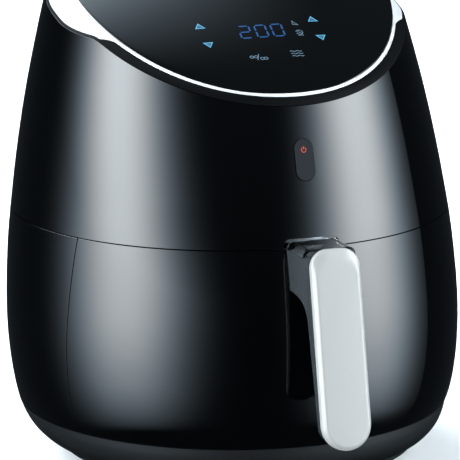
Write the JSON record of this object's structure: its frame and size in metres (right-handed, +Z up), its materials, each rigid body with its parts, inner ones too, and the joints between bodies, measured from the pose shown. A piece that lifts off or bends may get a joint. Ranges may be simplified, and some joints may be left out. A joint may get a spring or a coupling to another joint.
{
  "type": "air fryer",
  "caption": "Egg-shaped countertop air fryer with a slanted touch panel, a silver trim ring and a pull-out pan and basket on a front handle.",
  "frame": {"origin": "on the table, below the middle of the whole appliance", "axes": "+Z up, the user faces the -Y side, +X to the user's right"},
  "size_m": [0.31, 0.3672, 0.3647],
  "materials": {
    "gloss_black": "high-gloss black",
    "base_black": "black, half-matt",
    "rubber": "matt black rubber",
    "screw_steel": "zinc-plated steel",
    "silver_trim": "satin silver",
    "handle_silver": "satin silver",
    "panel_glass": "polished black",
    "display": "dark display body",
    "dark_plastic": "dark grey, matt",
    "button_plastic": "dark, half-gloss",
    "circuit_board": "green solder mask",
    "sheet_aluminium": "plain sheet",
    "sheet_steel": "plain sheet",
    "element_metal": "heat-darkened sheath",
    "probe_metal": "plain",
    "motor_metal": "zinc-coated can",
    "fan_plastic": "natural grey",
    "brass_nut": "plain brass",
    "nonstick": "dark non-stick coating",
    "clear_plastic": "clear, polished"
  },
  "bodies": {
    "housing": {"base_shell": "base_black", "base_cover": "base_black", "rubber_feet": "rubber", "base_screws": "screw_steel", "lower_housing": "gloss_black", "front_bulkhead": "dark_plastic", "bay_liner": "sheet_aluminium", "bay_floor": "dark_plastic", "drawer_rails": "sheet_aluminium", "drawer_switch": "dark_plastic", "cord_inlet": "base_black", "upper_shell": "gloss_black", "rim_bezel": "gloss_black", "trim_ring": "silver_trim", "control_panel": "panel_glass", "display_module": "display", "control_board": "circuit_board", "touch_springs": "screw_steel", "power_board": "circuit_board", "button_board": "circuit_board", "chamber_reflector": "sheet_aluminium", "heat_shield": "sheet_steel", "heating_element": "element_metal", "element_guard": "sheet_steel", "temperature_probe": "probe_metal", "thermal_cutout": "probe_metal", "motor_bracket": "sheet_aluminium", "fan_motor": "motor_metal", "motor_screws": "screw_steel", "exhaust_duct": "sheet_aluminium", "outlet_grille": "base_black"},
    "rotor": {"fan_shaft": "screw_steel", "convection_fan": "sheet_aluminium", "cooling_fan": "fan_plastic", "fan_nut": "brass_nut"},
    "power_key": {"power_button": "button_plastic"},
    "drawer": {"drawer_front": "gloss_black", "drawer_inner_frame": "dark_plastic", "drawer_carrier": "dark_plastic", "pan": "nonstick", "basket": "nonstick", "basket_bumpers": "rubber", "basket_bracket": "sheet_aluminium", "handle_core": "dark_plastic", "handle_plate": "handle_silver", "handle_screws": "screw_steel", "latch_pin": "screw_steel", "release_spring": "screw_steel"},
    "release_key": {"release_button": "dark_plastic"},
    "latch": {"release_latch": "screw_steel"},
    "guard": {"button_guard": "clear_plastic"}
  },
  "joints": [
    {"name": "drawer_slide", "type": "slide", "parent": "housing", "child": "drawer", "axis": [0, -1, 0], "range_m": [0, 0.25]},
    {"name": "fan_spin", "type": "hinge", "parent": "housing", "child": "rotor", "pos_m": [0, 0.015, 0.2], "axis": [0, 0, 1], "continuous": true},
    {"name": "power_press", "type": "slide", "parent": "housing", "child": "power_key", "axis": [0, 0.9613, -0.2756], "range_m": [0, 0.0012], "stiffness_N_per_m": 800},
    {"name": "release_press", "type": "slide", "parent": "drawer", "child": "release_key", "axis": [0, 0, -1], "range_m": [0, 0.003], "stiffness_N_per_m": 600, "springref_m": -0.0005, "deforming": ["release_spring"]},
    {"name": "latch_turn", "type": "hinge", "parent": "drawer", "child": "latch", "pos_m": [0, -0.128, 0.1566], "axis": [1, 0, 0], "range_deg": [0, 12]},
    {"name": "guard_slide", "type": "slide", "parent": "drawer", "child": "guard", "axis": [0, 1, 0], "range_m": [0, 0.011]}
  ],
  "couplings": [
    {"joint": "latch_turn", "follows": "release_press", "rad_per_m": 69.8}
  ]
}
